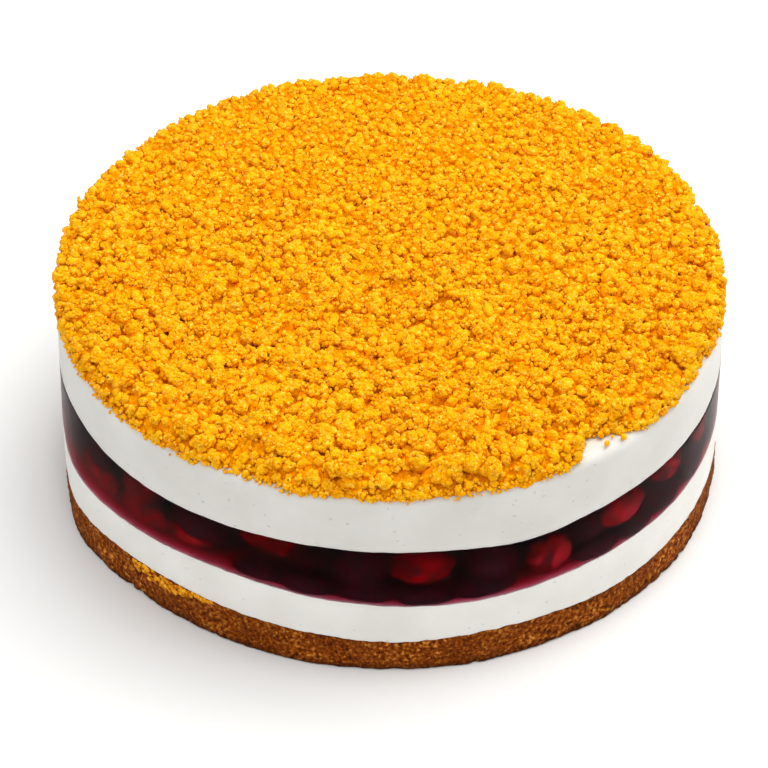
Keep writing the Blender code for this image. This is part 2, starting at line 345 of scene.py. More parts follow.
def cream_finish(name, dull, clean):
    """Set white cream: soft, a little see-through, with pinhole bubbles, painted shade in them, and faint
    smears.
    """
    material, tree, shader, place = new_finish(name, 0.5, 0.25)
    tone = colours(tree, clouds(tree, place, 22 * MM, 3.0), ((0.35, dull), (0.65, clean)))
    # Painted shade: the cream is tinted a little darker inside its pinholes.
    pinhole_shade = ranged(tree, cells(tree, place, PINHOLE_SPACING), 0.085, 0.045)
    tone = mixed(tree, ranged(tree, pinhole_shade, 0.0, 1.0, 0.0, 0.12), tone, srgb(204, 198, 188))
    tree.links.new(tone, shader.inputs["Base Color"])
    shader.inputs["Subsurface Weight"].default_value = 0.35
    shader.inputs["Subsurface Radius"].default_value = (1.0, 0.85, 0.7)
    shader.inputs["Subsurface Scale"].default_value = 2.5 * MM
    smear = bumps(tree, clouds(tree, place, 2.2 * MM, 4.0), 0.10 * MM)
    pinholes = ranged(tree, cells(tree, place, PINHOLE_SPACING), 0.11, 0.05, 1.0, 0.0)
    tree.links.new(bumps(tree, pinholes, 0.30 * MM, smear), shader.inputs["Normal"])
    return material


lower_white = cream_finish("thin_cream", srgb(226, 224, 218), srgb(234, 232, 227))
upper_white = cream_finish("thick_cream", srgb(211, 209, 203), srgb(219, 217, 212))
lower_seam = ragged(*LOWER_SEAM_RAGGED)
upper_seam = ragged(*UPPER_SEAM_RAGGED)
lower_cream = ring_solid("lower_cream_layer", layer_rings(
    layer_limits("lower_cream"), LOWER_CREAM_RINGS, base_seam - CREAM_OVERLAP, lower_seam,
    SEAM_EDGE, SEAM_EDGE, cream_relief,
))
upper_limits = layer_limits("upper_cream")
# The highest reading lies inside the rounded rim, which is made below, so the one under it stands in.
upper_limits[2][4] = upper_limits[2][3]
upper_cream = ring_solid("upper_cream_layer", layer_rings(
    upper_limits, UPPER_CREAM_RINGS, upper_seam, 0.0, CREAM_RIM, SEAM_EDGE, cream_relief,
))
for layer, node, white in (
    (lower_cream, "lower_cream", lower_white), (upper_cream, "upper_cream", upper_white),
):
    layer.data.materials.append(white)
    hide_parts(node)
    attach(layer, "root")

# The fruit: stoned cherries and dark berries, stirred into the jelly while it was warm and pressed
# out against the ring. The first ten berries sank, and make the jelly's dark foot at the front.
# A spot is (angle, share of the band's height, depth, half width, half height).
CHERRIES = (
    (-151, 0.0, 2.6, 12.0, 5.0), (-138, 0.0, 2.6, 12.0, 5.0), (-127, 0.0, 2.8, 9.0, 4.6),
    (-141, 0.70, 5.0, 10.0, 8.0), (-111, 0.95, 5.4, 12.0, 7.0), (-84.5, 0.42, 2.6, 11.5, 8.4),
    (-61.5, -0.1, 0.6, 9.4, 7.4), (-45.5, 0.6, 0.7, 11.0, 7.4), (-33, 0.92, 1.4, 10.0, 6.5),
    (-20, 0.80, 1.8, 9.0, 7.0),
)
BERRIES = (
    (-113, -0.3, 1.5, 10.0, 4.4), (-104, -0.3, 0.9, 11.0, 4.8), (-94, -0.3, 0.5, 11.0, 5.4),
    (-84, -0.3, 0.5, 11.0, 4.4), (-74, -0.3, 0.5, 12.0, 5.4), (-52, -0.3, 0.5, 10.0, 4.4),
    (-43, -0.3, 0.5, 10.0, 4.4), (-34, -0.3, 0.5, 10.0, 5.0), (-24, -0.3, 0.5, 11.0, 5.0),
    (-14, -0.3, 0.5, 11.0, 5.0),
    (-164, 0.60, 1.0, 10.5, 9.0), (-152, 0.95, 2.4, 10.0, 8.0), (-125, 0.95, 1.6, 13.0, 8.4),
    (-105, 0.25, 4.0, 9.0, 9.0), (-95, 0.55, 0.6, 11.5, 10.0), (-72.5, 0.50, 0.4, 11.0, 10.4),
    (-54, 0.75, 1.2, 8.0, 8.0), (-37, 0.05, 1.5, 9.0, 7.4), (-26, 0.10, 1.5, 9.0, 8.0),
    (-11, 0.30, 1.5, 9.0, 8.6),
)
FRUIT_CLEAR = 0.8 * MM
BACK_FROM, BACK_TO = 0.0, 184.0
BACK_SPACING = (9.5, 12.5)
BACK_DEPTHS = (1.4, 4.0)
BACK_HALF_WIDTHS = (8.6, 11.5)
BACK_HALF_HEIGHTS = (7.0, 9.8)
CHERRY_SHARE = 0.36
CHERRY_CLEFT = 0.2
BERRY_CLEFT = 0.05
jelly_limits = layer_limits("fruit_jelly")


def fruit(name, spots, draw, cleft):
    """Soft round fruit, each a little lopsided, with a cleft down one side."""
    shape = bmesh.new()
    for angle, share, depth, wide, tall in spots:
        wide, tall = wide * MM, tall * MM
        thick = 0.8 * min(wide, tall)
        turn = math.radians(angle)
        place = round(angle / 360 * RING_POINTS) % RING_POINTS
        under, over = jelly_limits[0][place], jelly_limits[1][place]
        radius = jelly_limits[2][2][place] - depth * MM - thick
        low, high = under + tall + FRUIT_CLEAR, over - tall - FRUIT_CLEAR
        height = low + (high - low) * share
        ball = bmesh.ops.create_icosphere(shape, subdivisions=4, radius=1.0)["verts"]
        lean = Euler((draw.uniform(-0.3, 0.3), draw.uniform(-0.3, 0.3), draw.uniform(-0.3, 0.3)))
        seed = Vector((draw.uniform(0, 50), 0.0, 0.0))
        for corner in ball:
            spot = corner.co.copy()
            spot *= 0.96 + 0.14 * noise.noise(spot * 1.3 + seed)
            spot *= 1.0 - cleft * math.exp(-((spot.y / 0.2) ** 2)) * max(0.0, spot.z + 0.3)
            spot.rotate(lean)
            corner.co = Matrix.Rotation(turn, 3, "Z") @ Vector((spot.x * thick, spot.y * wide, spot.z * tall))
            corner.co += Vector((*at(turn, radius), height))
    mesh = bpy.data.meshes.new(name)
    shape.to_mesh(mesh)
    shape.free()
    mesh.shade_smooth()
    return placed(name, mesh)


def fruit_finish(name, dark, bright):
    """Wet fruit skin and flesh, mottled from dark to bright."""
    material, tree, shader, place = new_finish(name, 0.4, 0.05)
    skin = colours(tree, clouds(tree, place, 4.5 * MM, 4.0), ((0.38, dark), (0.64, bright)))
    tree.links.new(skin, shader.inputs["Base Color"])
    tree.links.new(bumps(tree, clouds(tree, place, 1.4 * MM, 3.0), 0.2 * MM), shader.inputs["Normal"])
    return material


fruit_draw = random.Random(21)
cherry_spots = list(CHERRIES)
berry_spots = list(BERRIES)
angle = BACK_FROM
while angle < BACK_TO:
    wide, tall = fruit_draw.uniform(*BACK_HALF_WIDTHS), fruit_draw.uniform(*BACK_HALF_HEIGHTS)
    spot = (angle, fruit_draw.uniform(0.1, 0.9), fruit_draw.uniform(*BACK_DEPTHS), wide, tall)
    kind_spots = cherry_spots if fruit_draw.random() < CHERRY_SHARE else berry_spots
    kind_spots.append(spot)
    angle += fruit_draw.uniform(*BACK_SPACING)
cherries = fruit("sunk_cherries", cherry_spots, fruit_draw, CHERRY_CLEFT)
berries = fruit("sunk_berries", berry_spots, fruit_draw, BERRY_CLEFT)
cherries.data.materials.append(fruit_finish("cherry_flesh", srgb(74, 0, 14), srgb(176, 12, 44)))
berries.data.materials.append(fruit_finish("berry_skin", srgb(18, 2, 9), srgb(52, 5, 22)))
for piece in (cherries, berries):
    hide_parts("fruit_jelly")
    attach(piece, "root")

# The jelly: thickened dark red juice, poured round the fruit and set clear. It wets the cream
# above and below it, so it reaches a hair into both.
JELLY_RINGS = 10
JELLY_REACH = 0.3 * MM
JELLY_WAVE = (0.10 * MM, 12.0 * MM)
JELLY_SET_BACK = 0.12 * MM
JUICE_COLOUR = (0.86, 0.02, 0.34, 1.0)
JUICE_STRENGTH = 420.0


def jelly_relief(turn, radius, height):
    """The faint waves that the ring left in the set jelly."""
    spot = Vector((*at(turn, radius), height * 1.5))
    return JELLY_WAVE[0] * noise.noise(spot / JELLY_WAVE[1]) - JELLY_SET_BACK


def jelly_finish():
    """Clear jelly that swallows green and blue light first, then red: crimson thin, black deep."""
    material, tree, shader, place = new_finish("clear_jelly", 0.5, 0.12)
    shader.inputs["Base Color"].default_value = (1.0, 0.93, 0.94, 1.0)
    shader.inputs["Transmission Weight"].default_value = 1.0
    shader.inputs["IOR"].default_value = 1.1
    edge_on = tree.nodes.new("ShaderNodeLayerWeight")
    wet = ranged(tree, edge_on.outputs["Facing"], 0.65, 0.98, 0.0, 0.32)
    tree.links.new(wet, shader.inputs["Coat Weight"])
    shader.inputs["Coat Roughness"].default_value = 0.12
    soft = bumps(tree, clouds(tree, place, 7 * MM, 2.0), 0.25 * MM)
    tree.links.new(soft, shader.inputs["Normal"])
    juice = tree.nodes.new("ShaderNodeVolumeAbsorption")
    juice.inputs["Color"].default_value = JUICE_COLOUR
    juice.inputs["Density"].default_value = JUICE_STRENGTH
    tree.links.new(juice.outputs["Volume"], tree.nodes["Material Output"].inputs["Volume"])
    return material


jelly = ring_solid("clear_jelly_band", layer_rings(
    jelly_limits, JELLY_RINGS, lower_seam - JELLY_REACH, upper_seam + JELLY_REACH,
    SEAM_EDGE, SEAM_EDGE, jelly_relief,
))
jelly.data.materials.append(jelly_finish())
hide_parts("fruit_jelly")
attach(jelly, "root")

# The crumb bed: yellow sponge rubbed through a coarse sieve and heaped on the cream out to its rim.
# The crumbs that lie packed in the heap show only their tops, so they are one bed of their relief.
EDGE_READ_HEIGHT = 0.8 * MM
PAST_THE_EDGE = 140 * MM
EDGE_OUT = 1.0 * MM
EDGE_RAGGED = (1.2 * MM, 7.0 * MM, 41.0)
# Each bulge is (angle, half width in degrees, how far out in millimetres).
EDGE_BULGES = ((-70, 9, 1.2), (-57.5, 3, 1.6), (-112, 8, -1.1), (-128, 6, 0.8))
BACK_REACH = 119.3 * MM
BED_INSET = (0.8 * MM, 1.9 * MM)
BED_DEPTH = 5.0 * MM
BED_BACK_RISE = 3.0 * MM
BED_SLOPE = 0.7 * MM
BED_FRONT_SLOPE = 9.0 * MM
BED_SHOULDER = 0.6
BED_HOLLOWS = (1.5 * MM, 9.0 * MM, 5.0)
BED_TILT = (0.7 * MM, 45.0 * MM, 9.0)
BED_GRIDS = 250
BED_SUNK = 0.4 * MM
FIELD_CELL = 0.4 * MM
FIELD_HALF = 122 * MM
BOX_CLEAR = 0.03 * MM
BOX_LOW = np.array(solid_box[0]) + BOX_CLEAR
BOX_HIGH = np.array(solid_box[1]) - BOX_CLEAR
HEAP_LIMIT = solid_box[1].z - 0.2 * MM
CREAM_OVER = float(np.mean(upper_limits[1]))
SHAPES_EACH = 20
KNOBS = 0.42
LOBE_SPREAD = 0.62
FIRST_LOBE = (0.52, 0.68)
OTHER_LOBES = (0.32, 0.52)
GRANULE_SIZES = (0.65, 1.25)
BALL_STRETCH = (0.76, 1.24)
SKIN_FLATTER = 0.85


def unit_ball(splits):
    """The points and triangles of a ball of radius 1, with twenty sides for 1 split and eighty for 2."""
    shape = bmesh.new()
    bmesh.ops.create_icosphere(shape, subdivisions=splits, radius=1.0)
    points = np.array([corner.co for corner in shape.verts])
    faces = np.array([[corner.index for corner in face.verts] for face in shape.faces])
    shape.free()
    return points, faces


def any_turn(draw, lean=math.pi):
    """A random turn, leaning from upright by up to lean."""
    turn = Euler((draw.uniform(-lean, lean), draw.uniform(-lean, lean), draw.uniform(0, math.tau)))
    return np.array(turn.to_matrix())


def any_way(draw, lowest):
    """A random direction, no lower than lowest on a ball of radius 1."""
    up = draw.uniform(lowest, 1.0)
    turn = draw.uniform(0, math.tau)
    flat = math.sqrt(1 - up * up)
    return np.array((flat * math.cos(turn), flat * math.sin(turn), up))


class Crumb:
    """One torn crumb: a few knobbly lobes of sponge run together, with granules over their upper side."""

    def __init__(self, draw, across, granule, granules, lobes, splits):
        half = LOBE_SPREAD * across
        self.across = across
        self.middles = [np.zeros(3)]
        self.sizes = [half * draw.uniform(*FIRST_LOBE) if lobes > 1 else 0.5 * across]
        for _ in range(lobes - 1):
            lobe = half * draw.uniform(*OTHER_LOBES)
            self.middles.append(any_way(draw, -0.3) * (half - lobe) * draw.uniform(0.75, 1.05))
            self.sizes.append(lobe)
        lobe_middles, lobe_sizes = list(self.middles), list(self.sizes)
        areas = [lobe ** 2 for lobe in lobe_sizes]
        for _ in range(30 * granules):
            if len(self.middles) == lobes + granules:
                break
            number = draw.choices(range(lobes), areas)[0]
            spot = lobe_middles[number] + any_way(draw, -0.2) * lobe_sizes[number] * draw.uniform(0.84, 1.04)
            radius = granule / 2 * draw.uniform(*GRANULE_SIZES)
            buried = any(np.linalg.norm(spot - m) < 0.78 * s for m, s in zip(lobe_middles, lobe_sizes))
            beside = zip(self.middles[lobes:], self.sizes[lobes:])
            if not buried and not any(np.linalg.norm(spot - m) < 0.85 * radius for m, _ in beside):
                self.middles.append(spot)
                self.sizes.append(radius)
        points, faces, start = [], [], 0
        for number, (middle, radius) in enumerate(zip(self.middles, self.sizes)):
            ball_points, ball_faces = unit_ball(splits if number < lobes else 1)
            seed = Vector((draw.uniform(0, 50), 0.0, 0.0))
            if number < lobes:
                torn = [KNOBS * (noise.noise(Vector(p) * 1.6 + seed) + noise.noise(Vector(p) * 3.3 + seed))
                        for p in ball_points]
                ball_points = ball_points * (1.0 + np.array(torn))[:, None]
            stretch = np.diag([radius * draw.uniform(*BALL_STRETCH) for _ in range(3)])
            points.append(ball_points @ (any_turn(draw) @ stretch).T + middle)
            faces.append(ball_faces + start)
            start += len(ball_points)
        self.points, self.faces = np.concatenate(points), np.concatenate(faces)

    def relief(self, size):
        """How high its top stands above its middle, in each cell of the field that it covers."""
        reach = int(0.85 * self.across * size / FIELD_CELL) + 1
        line = np.arange(-reach, reach + 1) * FIELD_CELL
        x, y = np.meshgrid(line, line)
        top = np.full(x.shape, -1.0)
        for middle, radius in zip(self.middles, self.sizes):
            left = (radius * size) ** 2 - (x - middle[0] * size) ** 2 - (y - middle[1] * size) ** 2
            high = middle[2] * size + np.sqrt(np.clip(left, 0.0, None))
            top = np.where(left > 0.0, np.maximum(top, high), top)
        return top


def crumb_edge_line():
    """How far out the heap reaches at every ring point, read from its solid and made ragged."""
    tree = solid_tree("crumb_topping")
    reach = []
    for out in solid_directions():
        start = out * PAST_THE_EDGE + Vector((0.0, 0.0, CREAM_OVER + EDGE_READ_HEIGHT))
        reach.append(tree.ray_cast(start, -out)[0].xy.length)
    reach = finer(reach) + EDGE_OUT
    for angle, wide, out in EDGE_BULGES:
        away = (np.degrees(RING_TURNS) - angle + 180) % 360 - 180
        reach += out * MM * np.exp(-((away / wide) ** 2))
    reach = np.where(np.sin(RING_TURNS) > 0.1, np.maximum(reach, BACK_REACH), reach)
    return reach + ragged(*EDGE_RAGGED)


def edge_at(x, y):
    """The heap's reach in the direction of (x, y)."""
    turn = np.arctan2(y, x) % math.tau
    return edge_line[(turn / math.tau * len(edge_line)).astype(int) % len(edge_line)]


def bed_reach(x, y):
    """The bed's reach in the direction of (x, y): close to the heap's at the back, less at the front."""
    sideways = y / np.maximum(np.hypot(x, y), 1e-9)
    low, high = BED_INSET
    return edge_at(x, y) - low - (high - low) * np.clip(0.5 - sideways, 0.0, 1.0)


def cream_height(radius):
    """The height of the cream's top, with its rounded rim."""
    past = np.clip(radius - (TORTE_RADIUS - CREAM_RIM), 0.0, CREAM_RIM * 0.98)
    return CREAM_OVER - (CREAM_RIM - np.sqrt(CREAM_RIM ** 2 - past ** 2))


def slow_noise(x, y, size, seed):
    """Smooth noise over many points at once, read from a coarse grid."""
    line = np.arange(-FIELD_HALF - size, FIELD_HALF + 2 * size, size / 3)
    grid = np.array([[noise.noise(Vector((a / size, b / size, seed))) for a in line] for b in line])
    return between(grid, (x - line[0]) * 3 / size, (y - line[0]) * 3 / size)


def between(grid, column, row):
    """The values of a grid between its rows and columns."""
    left, down = column.astype(int), row.astype(int)
    across, up = column - left, row - down
    low = grid[down, left] * (1 - across) + grid[down, left + 1] * across
    high = grid[down + 1, left] * (1 - across) + grid[down + 1, left + 1] * across
    return low * (1 - up) + high * up


class Field:
    """The ground that crumbs come to rest on: one height for each small cell of the torte's top."""

    def __init__(self):
        line = np.arange(-FIELD_HALF, FIELD_HALF + FIELD_CELL, FIELD_CELL)
        x, y = np.meshgrid(line, line)
        self.height = cream_height(np.hypot(x, y))
        inside = bed_reach(x, y) - np.hypot(x, y)
        towards_front = np.clip(-y / TORTE_RADIUS, 0.0, 1.0)
        towards_back = np.clip(0.3 + y / TORTE_RADIUS, 0.0, 1.0)
        share = np.clip(inside / (BED_SLOPE + BED_FRONT_SLOPE * towards_front), 0.0, 1.0)
        depth = (BED_DEPTH + BED_BACK_RISE * towards_back) * share ** BED_SHOULDER
        for rise, size, seed in (BED_HOLLOWS, BED_TILT):
            depth += rise * share * slow_noise(x, y, size, seed)
        self.height += np.where(inside > 0.0, np.clip(depth, 0.2 * MM, None), 0.0)
        self.bare = inside > -0.5 * MM
        self.domes = {}

    def window(self, x, y, reach, grid=None):
        """The square of cells up to reach cells from (x, y)."""
        row = int(round((y + FIELD_HALF) / FIELD_CELL))
        column = int(round((x + FIELD_HALF) / FIELD_CELL))
        grid = self.height if grid is None else grid
        return grid[row - reach:row + reach + 1, column - reach:column + reach + 1]

    def dome(self, radius):
        """The cells that a round crumb covers, and how far its skin is from its middle in each."""
        key = round(radius / (0.1 * MM))
        if key not in self.domes:
            reach = int(radius / FIELD_CELL)
            line = np.arange(-reach, reach + 1) * FIELD_CELL
            left = radius ** 2 - line[:, None] ** 2 - line[None, :] ** 2
            self.domes[key] = reach, np.sqrt(np.clip(left, 0.0, None)), left >= 0.0
        return self.domes[key]

    def rest(self, x, y, radius, settle):
        """The height of a crumb's middle once it has settled on what lies below it."""
        reach, skin, covered = self.dome(radius)
        touching = np.sort((self.window(x, y, reach) + SKIN_FLATTER * skin)[covered])
        return touching[int(settle * (len(touching) - 1))]

    def lay(self, x, y, height, radius):
        """Raise the ground to the top of a round crumb that has come to rest."""
        reach, skin, covered = self.dome(radius)
        part = self.window(x, y, reach)
        np.maximum(part, np.where(covered, height + SKIN_FLATTER * skin, 0.0), out=part)
        self.window(x, y, reach, self.bare)[covered & (skin > 0.35 * radius)] = False

    def open_share(self, x, y, radius):
        """How much of the ground that a crumb would cover is still bare."""
        reach, _, covered = self.dome(radius)
        return self.window(x, y, reach, self.bare)[covered].mean()

    def bury(self, draw, crumb, x, y, size, settle, sunk):
        """Leave a crumb's own relief in the ground, sunk by a share of its radius."""
        radius = crumb.across * size / 2
        height = self.rest(x, y, radius, settle) - sunk * radius
        top = np.rot90(crumb.relief(size), draw.randrange(4))
        part = self.window(x, y, len(top) // 2)
        np.maximum(part, top + height, out=part)


def mesh_piece(name, points, faces):
    """A smooth piece from arrays of points and of triangles or four-sided faces."""
    mesh = bpy.data.meshes.new(name)
    mesh.vertices.add(len(points))
    mesh.vertices.foreach_set("co", np.ascontiguousarray(points, dtype=np.float32).ravel())
    mesh.loops.add(faces.size)
    mesh.loops.foreach_set("vertex_index", np.ascontiguousarray(faces, dtype=np.int32).ravel())
    mesh.polygons.add(len(faces))
    mesh.polygons.foreach_set("loop_start", np.arange(0, faces.size, faces.shape[1], dtype=np.int32))
    mesh.update(calc_edges=True)
    mesh.shade_smooth()
    return placed(name, mesh)


def disc_grid(count):
    """A square grid drawn out to a disc of radius 1, with cells of equal area."""
    line = np.linspace(-1.0, 1.0, count + 1)
    a, b = np.meshgrid(line, line)
    wide = np.abs(a) > np.abs(b)
    radius = np.where(wide, a, b)
    safe_a, safe_b = np.where(a == 0, 1.0, a), np.where(b == 0, 1.0, b)
    turn = np.where(wide, math.pi / 4 * b / safe_a, math.pi / 2 - math.pi / 4 * a / safe_b)
    return radius * np.cos(turn), radius * np.sin(turn)


def bed_piece(field):
    """The bed as one closed piece: its grainy top, and a flat underside on the cream."""
    x, y = disc_grid(BED_GRIDS)
    reach = bed_reach(x, y) + 0.6 * MM
    x, y = x * reach, y * reach
    height = between(field.height, (x + FIELD_HALF) / FIELD_CELL, (y + FIELD_HALF) / FIELD_CELL)
    points = np.stack([x, y, np.minimum(height, HEAP_LIMIT)], -1).reshape(-1, 3)
    across = BED_GRIDS + 1
    number = np.arange(across * across).reshape(across, across)
    quads = np.stack([number[:-1, :-1], number[:-1, 1:], number[1:, 1:], number[1:, :-1]], -1).reshape(-1, 4)
    rim = np.concatenate([number[0, :-1], number[:-1, -1], number[-1, :0:-1], number[:0:-1, 0]])
    low = points[rim]
    low[:, 2] = cream_height(np.hypot(low[:, 0], low[:, 1])) - BED_SUNK
    lows = len(points) + np.arange(len(rim))
    points = np.concatenate([points, low, [[0.0, 0.0, CREAM_OVER - BED_SUNK]]])
    points = np.clip(points, BOX_LOW, BOX_HIGH)
    skirt = np.stack([rim, lows, np.roll(lows, -1), np.roll(rim, -1)], -1)
    pair = np.arange(0, len(rim), 2)
    middle = np.full(len(pair), len(points) - 1)
    under = np.stack([lows[pair], middle, lows[(pair + 2) % len(rim)], lows[pair + 1]], -1)
    return mesh_piece("crumb_bed", points, np.concatenate([quads, skirt, under]))


def crumb_finish():
    """Dry, bright yellow sponge: open, with painted highlights as pale yellow spots, and painted shade as
    deeper orange in its pores.
    """
    material, tree, shader, place = new_finish("yellow_sponge", 0.5, 0.04)
    tone = colours(tree, clouds(tree, place, 7 * MM, 5.0), (
        (0.30, srgb(247, 163, 1)), (0.50, srgb(251, 175, 3)), (0.72, srgb(254, 187, 8)),
    ))
    # Painted shade: deeper orange patches stand for the shade in the sponge's pores.
    pore_shade = ranged(tree, clouds(tree, place, 1.0 * MM, 3.0), 0.40, 0.30, 0.0, 0.4)
    tone = mixed(tree, pore_shade, tone, srgb(236, 140, 0))
    # Painted highlights: small pale yellow glints over the sponge.
    painted_glints = ranged(tree, clouds(tree, place, 1.1 * MM, 2.0), 0.56, 0.66, 0.0, 0.7)
    tone = mixed(tree, painted_glints, tone, srgb(255, 220, 88))
    specks = ranged(tree, cells(tree, place, 9 * MM), 0.055, 0.045)
    tone = mixed(tree, specks, tone, srgb(92, 52, 6))
    tree.links.new(tone, shader.inputs["Base Color"])
    granules = ranged(tree, cells(tree, place, 1.2 * MM), 0.0, 0.6, 1.0, 0.0)
    coarse = bumps(tree, granules, 0.45 * MM)
    fine = bumps(tree, clouds(tree, place, 0.7 * MM, 3.0), 0.2 * MM, coarse)
    tree.links.new(fine, shader.inputs["Normal"])
    return material


def shaded_bed_finish():
    """The same sponge low in the heap, with painted shade: deeper orange, for the shade between the crumbs
    that lie over it.
    """
    material, tree, shader, place = new_finish("shaded_sponge", 0.6, 0.03)
    # Painted shade: these tones are deeper orange than the crumbs' own, standing for the shade in the heap's
    # gaps.
    tone = colours(tree, clouds(tree, place, 2.4 * MM, 5.0), (
        (0.34, srgb(232, 132, 0)), (0.50, srgb(244, 154, 1)), (0.66, srgb(252, 174, 3)),
    ))
    tree.links.new(tone, shader.inputs["Base Color"])
    granules = ranged(tree, cells(tree, place, 1.5 * MM), 0.0, 0.6, 1.0, 0.0)
    coarse = bumps(tree, granules, 0.45 * MM)
    fine = bumps(tree, clouds(tree, place, 0.9 * MM, 4.0), 0.3 * MM, coarse)
    tree.links.new(fine, shader.inputs["Normal"])
    return material


crumb_draw = random.Random(5)
edge_line = crumb_edge_line()
field = Field()
# Each kind of crumb is (width, granule's width, granules, lobes, splits of a lobe's ball).
KINDS = {
    "crumb_clumps": (7.6 * MM, 2.0 * MM, 34, 5, 2),
    "crumb_lumps": (5.4 * MM, 1.8 * MM, 14, 3, 2),
    "crumb_pieces": (3.6 * MM, 0.0, 0, 1, 2),
    "loose_grains": (1.9 * MM, 0.0, 0, 1, 1),
}
shapes = {
    kind: [Crumb(crumb_draw, *measures) for _ in range(SHAPES_EACH)] for kind, measures in KINDS.items()
}
# What lies packed is (kind, how many, how far each is sunk, as a share of its radius).
BURIED = (("crumb_pieces", 2600, 0.75), ("loose_grains", 9000, 0.3))
BURIED_SIZES = (0.75, 0.95, 1.15)
BURIED_SETTLE = 0.45
for kind, count, sunk in BURIED:
    for _ in range(count):
        turn = crumb_draw.uniform(0, math.tau)
        reach = TORTE_RADIUS * math.sqrt(crumb_draw.random())
        x, y = at(turn, reach)
        crumb = crumb_draw.choice(shapes[kind])
        if reach + 0.4 * crumb.across < bed_reach(x, y):
            field.bury(crumb_draw, crumb, x, y, crumb_draw.choice(BURIED_SIZES), BURIED_SETTLE, sunk)
crumb_yellow = crumb_finish()
bed = bed_piece(field)
bed.data.materials.append(shaded_bed_finish())
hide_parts("crumb_topping")
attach(bed, "root")

# The crumbs on the bed: torn clumps and lumps of sponge, smaller pieces between them and loose
# grains over all and out to the ragged edge, each fallen and settled where it lies.
# A scattered kind is (kind, how many, sizes, share sunk, share let lie at the back, spots tried).
SCATTERED = (
    ("crumb_clumps", 80, (0.8, 1.2), 0.2, 0.2, 4),
    ("crumb_lumps", 270, (0.82, 1.2), 0.25, 0.45, 4),
    ("crumb_pieces", 1880, (0.7, 1.3), 0.4, 1.0, 4),
    ("loose_grains", 3500, (0.6, 1.25), 0.3, 1.0, 3),
)
DUSTED = {"loose_grains": (3900, (0.6, 1.15))}
DUST_REACH = 118.5 * MM
DUST_INSET = 2 * MM
DUST_SUNK = 0.9
# Crumbs on the heap's edge are (how many, sizes, the band that they lie in, measured from the edge).
EDGE_LINES = {
    "crumb_pieces": (600, (0.5, 1.0), (-4.0 * MM, -0.1 * MM, -1.0 * MM)),
    "loose_grains": (2500, (0.4, 1.0), (-3.0 * MM, 0.9 * MM, -0.4 * MM)),
}
WALL_DEPTH = 1.6 * MM
REACH_LIMIT = 120.6 * MM
TOP_ROOM = 1.35
# A stray grain on the cream is (angle, millimetres from the torte's middle, size).
STRAYS = (
    (-50.4, 112.6, 1.5), (-47.5, 118.2, 1.2), (-51.0, 117.3, 1.3), (-55.5, 115.0, 0.9), (-48.9, 115.4, 0.7),
    (-71.4, 118.6, 1.2), (-69.3, 118.9, 1.0), (-66.3, 118.7, 1.3), (-64.2, 118.2, 0.8), (-67.9, 117.2, 0.9),
    (-119.6, 118.7, 1.2), (-101.0, 119.0, 1.1), (-103.2, 119.1, 0.8), (-142.0, 118.3, 1.0),
    (-57.2, 118.2, 0.7),
)


def pour(name, crumbs, spots, finish):
    """Many crumbs as one piece: each spot is a crumb's number, a place, a turn and a size."""
    points, faces, start = [], [], 0
    for number, place, turn, size in spots:
        points.append(crumbs[number].points @ (turn * size).T + np.array(place))
        faces.append(crumbs[number].faces + start)
        start += len(crumbs[number].points)
    points = np.clip(np.concatenate(points), BOX_LOW, BOX_HIGH)
    made = mesh_piece(name, points, np.concatenate(faces))
    made.data.materials.append(finish)
    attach(made, "root")
    return made


def roomy(x, y, radius):
    """Whether a crumb lies inside the torte's outline."""
    beside = BOX_LOW[0] < x - radius and x + radius < BOX_HIGH[0]
    return beside and BOX_LOW[1] < y - radius and math.hypot(x, y) + radius < REACH_LIMIT


def scatter(draw, kind, count, sizes, sunk, front, tries):
    """Drop crumbs where the bed is still bare, each at the most open of a few random spots."""
    spots = []
    while len(spots) < count:
        if len(spots) % 20 == 0:
            rows, columns = np.nonzero(field.bare)
        size = draw.uniform(*sizes)
        radius = KINDS[kind][0] * size / 2
        best = None
        for _ in range(tries):
            number = draw.randrange(len(rows))
            x = (columns[number] + draw.uniform(-0.5, 0.5)) * FIELD_CELL - FIELD_HALF
            y = (rows[number] + draw.uniform(-0.5, 0.5)) * FIELD_CELL - FIELD_HALF
            passed_over = draw.random() > front + (1 - front) * (0.5 - 0.5 * y / TORTE_RADIUS)
            if passed_over or not roomy(x, y, radius):
                continue
            share = field.open_share(x, y, radius)
            height = field.rest(x, y, radius, 0.5) - sunk * radius
            if height + 1.2 * radius < HEAP_LIMIT and (best is None or share > best[0]):
                best = (share, (x, y, height))
        if best:
            field.lay(*best[1], radius)
            spots.append((draw.randrange(SHAPES_EACH), best[1], any_turn(draw, 0.5), size))
    return spots


def dust(draw, kind, count, sizes):
    """Stick small crumbs anywhere on what already lies there, half sunk into it."""
    spots = []
    while len(spots) < count:
        size = draw.uniform(*sizes)
        radius = KINDS[kind][0] * size / 2
        turn = draw.uniform(0, math.tau)
        reach = DUST_REACH * math.sqrt(draw.random())
        x, y = at(turn, reach)
        height = field.rest(x, y, radius, 0.5) - DUST_SUNK * radius
        if reach < edge_at(x, y) - DUST_INSET and height + TOP_ROOM * radius < HEAP_LIMIT:
            spots.append((draw.randrange(SHAPES_EACH), (x, y, height), any_turn(draw), size))
    return spots


